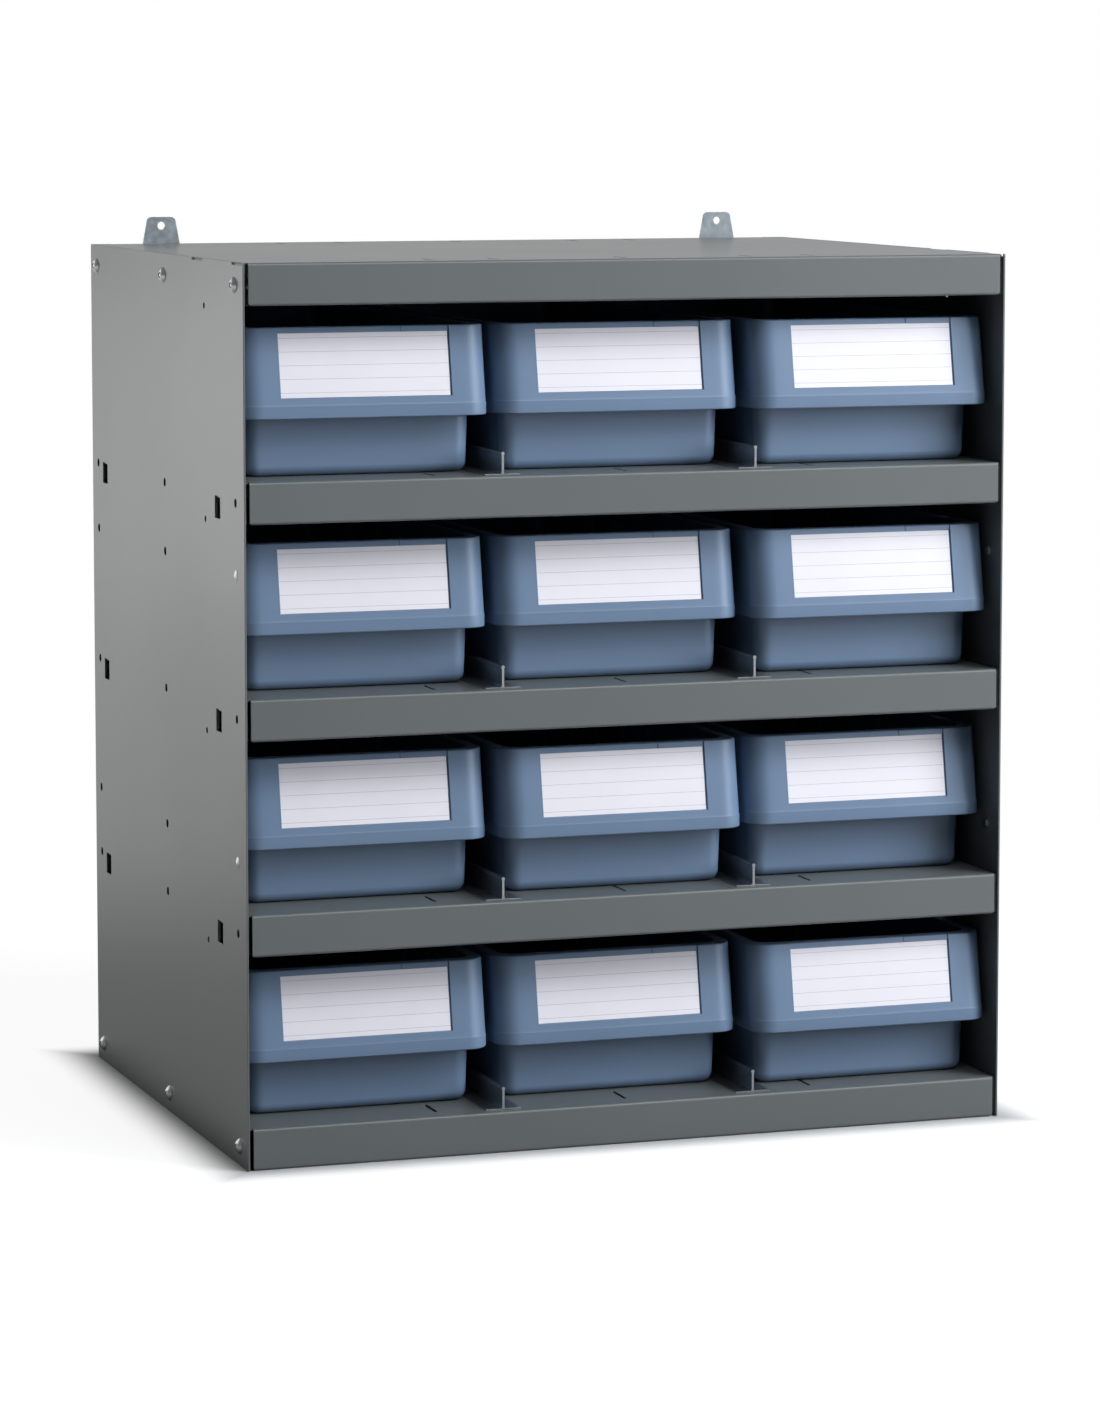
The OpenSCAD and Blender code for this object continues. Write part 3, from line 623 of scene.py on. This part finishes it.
def divider_rib_tree():
    """Node tree that sets out pairs of upright ribs along both long walls of a bin."""
    tree = bpy.data.node_groups.new("divider_ribs", "GeometryNodeTree")
    sizes = {"Pairs": 6, "First": 62.0, "Spacing": 56.0, "Pair Pitch": 4.0, "Rib Width": 1.6,
             "Rib Depth": 3.0, "Low End": 14.0, "High End": 88.5, "Wall Inside": 77.3, "Middle": 202.0}
    for label, value in sizes.items():
        kind = "NodeSocketInt" if label == "Pairs" else "NodeSocketFloat"
        socket = tree.interface.new_socket(label, in_out="INPUT", socket_type=kind)
        socket.default_value = value if label == "Pairs" else value * MM
    tree.interface.new_socket("Plastic", in_out="INPUT", socket_type="NodeSocketMaterial")
    tree.interface.new_socket("Geometry", in_out="OUTPUT", socket_type="NodeSocketGeometry")
    start = add_node(tree, "NodeGroupInput", (-1400, 0))
    end = add_node(tree, "NodeGroupOutput", (1400, 0))

    def sum_of(first, second, operation, place):
        maths = add_node(tree, "ShaderNodeMath", place, operation=operation)
        for socket, value in zip(maths.inputs, (first, second)):
            if isinstance(value, float):
                socket.default_value = value
            else:
                tree.links.new(value, socket)
        return maths.outputs[0]

    def vector_of(x, y, z, place):
        vector = add_node(tree, "ShaderNodeCombineXYZ", place)
        for socket, value in zip(vector.inputs, (x, y, z)):
            if value is not None:
                tree.links.new(value, socket)
        return vector.outputs[0]

    length = sum_of(start.outputs["High End"], start.outputs["Low End"], "SUBTRACT", (-1100, 300))
    half_length = sum_of(length, 0.5, "MULTIPLY", (-900, 300))
    rib_middle = sum_of(half_length, start.outputs["Low End"], "ADD", (-700, 300))
    rib = add_node(tree, "GeometryNodeMeshCube", (-700, 100))
    rib_size = vector_of(start.outputs["Rib Depth"], start.outputs["Rib Width"], length, (-900, 100))
    tree.links.new(rib_size, rib.inputs["Size"])
    pair = add_node(tree, "GeometryNodeJoinGeometry", (-200, 100))
    for step, place in ((-0.5, (-450, 200)), (0.5, (-450, 0))):
        aside = sum_of(start.outputs["Pair Pitch"], step, "MULTIPLY", (place[0] - 250, place[1] - 200))
        shift = add_node(tree, "GeometryNodeTransform", place)
        tree.links.new(rib.outputs["Mesh"], shift.inputs["Geometry"])
        tree.links.new(vector_of(None, aside, rib_middle, (place[0] - 100, place[1] - 200)),
                       shift.inputs["Translation"])
        tree.links.new(shift.outputs[0], pair.inputs[0])
    row = add_node(tree, "GeometryNodeMeshLine", (-450, -400))
    tree.links.new(start.outputs["Pairs"], row.inputs["Count"])
    tree.links.new(vector_of(None, start.outputs["First"], None, (-700, -400)), row.inputs["Start Location"])
    tree.links.new(vector_of(None, start.outputs["Spacing"], None, (-700, -550)), row.inputs["Offset"])
    spread = add_node(tree, "GeometryNodeInstanceOnPoints", (0, 0))
    tree.links.new(row.outputs["Mesh"], spread.inputs["Points"])
    tree.links.new(pair.outputs[0], spread.inputs["Instance"])
    lean_out = add_node(tree, "GeometryNodeTransform", (200, 0))
    lean_out.inputs["Rotation"].default_value = (0.0, math.atan(draft), 0.0)
    tree.links.new(spread.outputs[0], lean_out.inputs["Geometry"])
    tree.links.new(vector_of(start.outputs["Wall Inside"], None, None, (0, -300)),
                   lean_out.inputs["Translation"])
    turn = add_node(tree, "GeometryNodeTransform", (450, -200))
    turn.inputs["Rotation"].default_value = (0.0, 0.0, math.pi)
    across = sum_of(start.outputs["Middle"], 2.0, "MULTIPLY", (100, -500))
    tree.links.new(vector_of(None, across, None, (250, -500)), turn.inputs["Translation"])
    tree.links.new(lean_out.outputs[0], turn.inputs["Geometry"])
    both = add_node(tree, "GeometryNodeJoinGeometry", (700, 0))
    tree.links.new(lean_out.outputs[0], both.inputs[0])
    tree.links.new(turn.outputs[0], both.inputs[0])
    real = add_node(tree, "GeometryNodeRealizeInstances", (900, 0))
    coat = add_node(tree, "GeometryNodeSetMaterial", (1100, 0))
    tree.links.new(both.outputs[0], real.inputs[0])
    tree.links.new(real.outputs[0], coat.inputs["Geometry"])
    tree.links.new(start.outputs["Plastic"], coat.inputs["Material"])
    tree.links.new(coat.outputs[0], end.inputs[0])
    return tree


bin_look, _ = grained_material(
    "grey_blue_polypropylene", ((0.133, 0.198, 0.302), (0.145, 0.212, 0.322)), (0.34, 0.40),
    bump_scale=2400.0, bump=0.000006, drift=7.0, corner=0.0004
)

# The ribs come from their tree as a plain mesh and are joined to the swept shell
rib_holder = bpy.data.objects.new("rib_holder", bpy.data.meshes.new("rib_holder"))
scene.collection.objects.link(rib_holder)
rib_maker = rib_holder.modifiers.new("divider_ribs", "NODES")
rib_maker.node_group = divider_rib_tree()
for socket in rib_maker.node_group.interface.items_tree:
    if socket.name == "Plastic":
        rib_maker[socket.identifier] = bin_look
rib_result = rib_holder.evaluated_get(bpy.context.evaluated_depsgraph_get())
rib_mesh = bpy.data.meshes.new_from_object(rib_result)
bpy.data.objects.remove(rib_holder)

moulding = bmesh.new()
moulding.from_mesh(bin_shell())
moulding.from_mesh(rib_mesh)
moulding_mesh = bpy.data.meshes.new("bin_moulding")
moulding.to_mesh(moulding_mesh)
moulding.free()

bin_names = [name for name in nodes if name.startswith("bin_")]


def bin_place(name):
    """Where the bin's own origin is: the middle of its front, at its floor."""
    low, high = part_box(name)
    return Matrix.Translation(((low[0] + high[0]) / 2, low[1], low[2]))


for name in bin_names:
    mesh = moulding_mesh.copy()
    mesh.transform(bin_place(name))
    mesh.materials.clear()
    mesh.materials.append(bin_look)
    moulded_bin = bpy.data.objects.new(name + "_moulding", mesh)
    scene.collection.objects.link(moulded_bin)
    soften = moulded_bin.modifiers.new("even_normals", "WEIGHTED_NORMAL")
    soften.keep_sharp = True
    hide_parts(name)
    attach(moulded_bin, name)


# ---------------------------------------------------------------------------
# Label cards
# A die-cut white card with five faint ruled lines lies in the recess of each bin's
# front, a trifle bowed, so that its top edge stands a hair off the plastic.
# ---------------------------------------------------------------------------
card_wide, card_high, card_thick = 121.0, 44.4, 0.32
card_low, card_front = 5.6, 1.02
card_bow = 0.13


def card_point(u, v, depth):
    """A point of the card in the bin's millimetres, from its place on the label front."""
    along = card_low + v * card_high
    back = card_front + depth + card_bow * (1 - math.sin(math.pi * u)) * (0.4 + 0.6 * v)
    y = back * math.cos(lean) + along * math.sin(lean)
    z = crease - back * math.sin(lean) + along * math.cos(lean)
    return Vector(((u - 0.5) * card_wide, y, z)) * MM


def label_card():
    """The card as a thin closed sheet with a UV map over its face."""
    across, up = 24, 6
    card = bmesh.new()
    uv = card.loops.layers.uv.new("card")
    sheets = []
    for depth in (0.0, card_thick):
        sheets.append([[card.verts.new(card_point(i / across, k / up, depth)) for i in range(across + 1)]
                       for k in range(up + 1)])
    face, back = sheets

    def cell(corners, spots):
        quad = card.faces.new(corners)
        quad.smooth = True
        for loop, (i, k) in zip(quad.loops, spots):
            loop[uv].uv = (i / across, k / up)

    for k in range(up):
        for i in range(across):
            spots = [(i, k), (i + 1, k), (i + 1, k + 1), (i, k + 1)]
            cell([face[b][a] for a, b in spots], spots)
            cell([back[b][a] for a, b in reversed(spots)], list(reversed(spots)))
    border = [(i, 0) for i in range(across)] + [(across, k) for k in range(up)]
    border += [(i, up) for i in range(across, 0, -1)] + [(0, k) for k in range(up, 0, -1)]
    for (i, k), (m, n) in zip(border, border[1:] + border[:1]):
        cell([back[k][i], back[n][m], face[n][m], face[k][i]], [(i, k), (m, n), (m, n), (i, k)])
    card.normal_update()
    for rim_edge in card.edges:
        rim_edge.smooth = rim_edge.calc_face_angle() < math.radians(50)
    mesh = bpy.data.meshes.new("label_card")
    card.to_mesh(mesh)
    card.free()
    return mesh


card_look = bpy.data.materials.new("ruled_card")
card_look.use_nodes = True
ruled = card_look.node_tree
card_base = ruled.nodes["Principled BSDF"]
card_base.location = (900, 0)
ruled.nodes["Material Output"].location = (1200, 0)
card_base.inputs["Specular IOR Level"].default_value = 0.35
fibre = add_node(ruled, "ShaderNodeGroup", (300, 200), node_tree=grain)
fibre.inputs["Bump Scale"].default_value = 1800.0
fibre.inputs["Drift Scale"].default_value = 25.0
fibre.inputs["Colour A"].default_value = (0.790, 0.760, 0.810, 1)
fibre.inputs["Colour B"].default_value = (0.825, 0.790, 0.840, 1)
fibre.inputs["Rough A"].default_value = 0.55
fibre.inputs["Rough B"].default_value = 0.65
place = add_node(ruled, "ShaderNodeUVMap", (-1100, 0), uv_map="card")
split = add_node(ruled, "ShaderNodeSeparateXYZ", (-900, 0))
ruled.links.new(place.outputs["UV"], split.inputs[0])
first_line, line_pitch, line_half = 0.075, 0.2125, 0.0042


def ruled_maths(operation, first, second, spot, third=None):
    """A maths node of the ruled card, with values or links as its inputs."""
    maths = add_node(ruled, "ShaderNodeMath", spot, operation=operation)
    for socket, value in zip(maths.inputs, (first, second, third)):
        if isinstance(value, (int, float)):
            socket.default_value = value
        elif value is not None:
            ruled.links.new(value, socket)
    return maths.outputs[0]


# How far a point lies from the nearest of the evenly spaced lines
line_step = ruled_maths("SUBTRACT", split.outputs["Y"], first_line, (-700, 0))
line_step = ruled_maths("DIVIDE", line_step, line_pitch, (-550, 0))
line_near = ruled_maths("ROUND", line_step, None, (-400, -120))
line_off = ruled_maths("SUBTRACT", line_step, line_near, (-250, 0))
line_off = ruled_maths("ABSOLUTE", line_off, None, (-100, 0))
line_off = ruled_maths("MULTIPLY", line_off, line_pitch / line_half, (50, 0))
line_mask = ruled_maths("LESS_THAN", line_off, 1.0, (200, -100))
dots = add_node(ruled, "ShaderNodeTexNoise", (-100, -300))
dots.inputs["Scale"].default_value = 260.0
ruled.links.new(place.outputs["UV"], dots.inputs["Vector"])
line_ink = ruled_maths("MULTIPLY", line_mask, dots.outputs["Fac"], (400, -150))
card_ink = add_node(ruled, "ShaderNodeMix", (650, 100), data_type="RGBA")
card_ink.inputs[7].default_value = (0.30, 0.30, 0.33, 1)
ruled.links.new(line_ink, card_ink.inputs[0])
ruled.links.new(fibre.outputs["Colour"], card_ink.inputs[6])
ruled.links.new(card_ink.outputs[2], card_base.inputs["Base Color"])
ruled.links.new(fibre.outputs["Roughness"], card_base.inputs["Roughness"])
card_dent = add_node(ruled, "ShaderNodeBump", (650, -250))
card_dent.inputs["Distance"].default_value = 0.000004
ruled.links.new(fibre.outputs["Height"], card_dent.inputs["Height"])
ruled.links.new(card_dent.outputs[0], card_base.inputs["Normal"])

card_mesh = label_card()
for name in bin_names:
    mesh = card_mesh.copy()
    mesh.transform(bin_place(name))
    mesh.materials.append(card_look)
    card = bpy.data.objects.new(name.replace("bin", "label") + "_card", mesh)
    scene.collection.objects.link(card)
    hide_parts(name.replace("bin", "label"))
    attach(card, name)
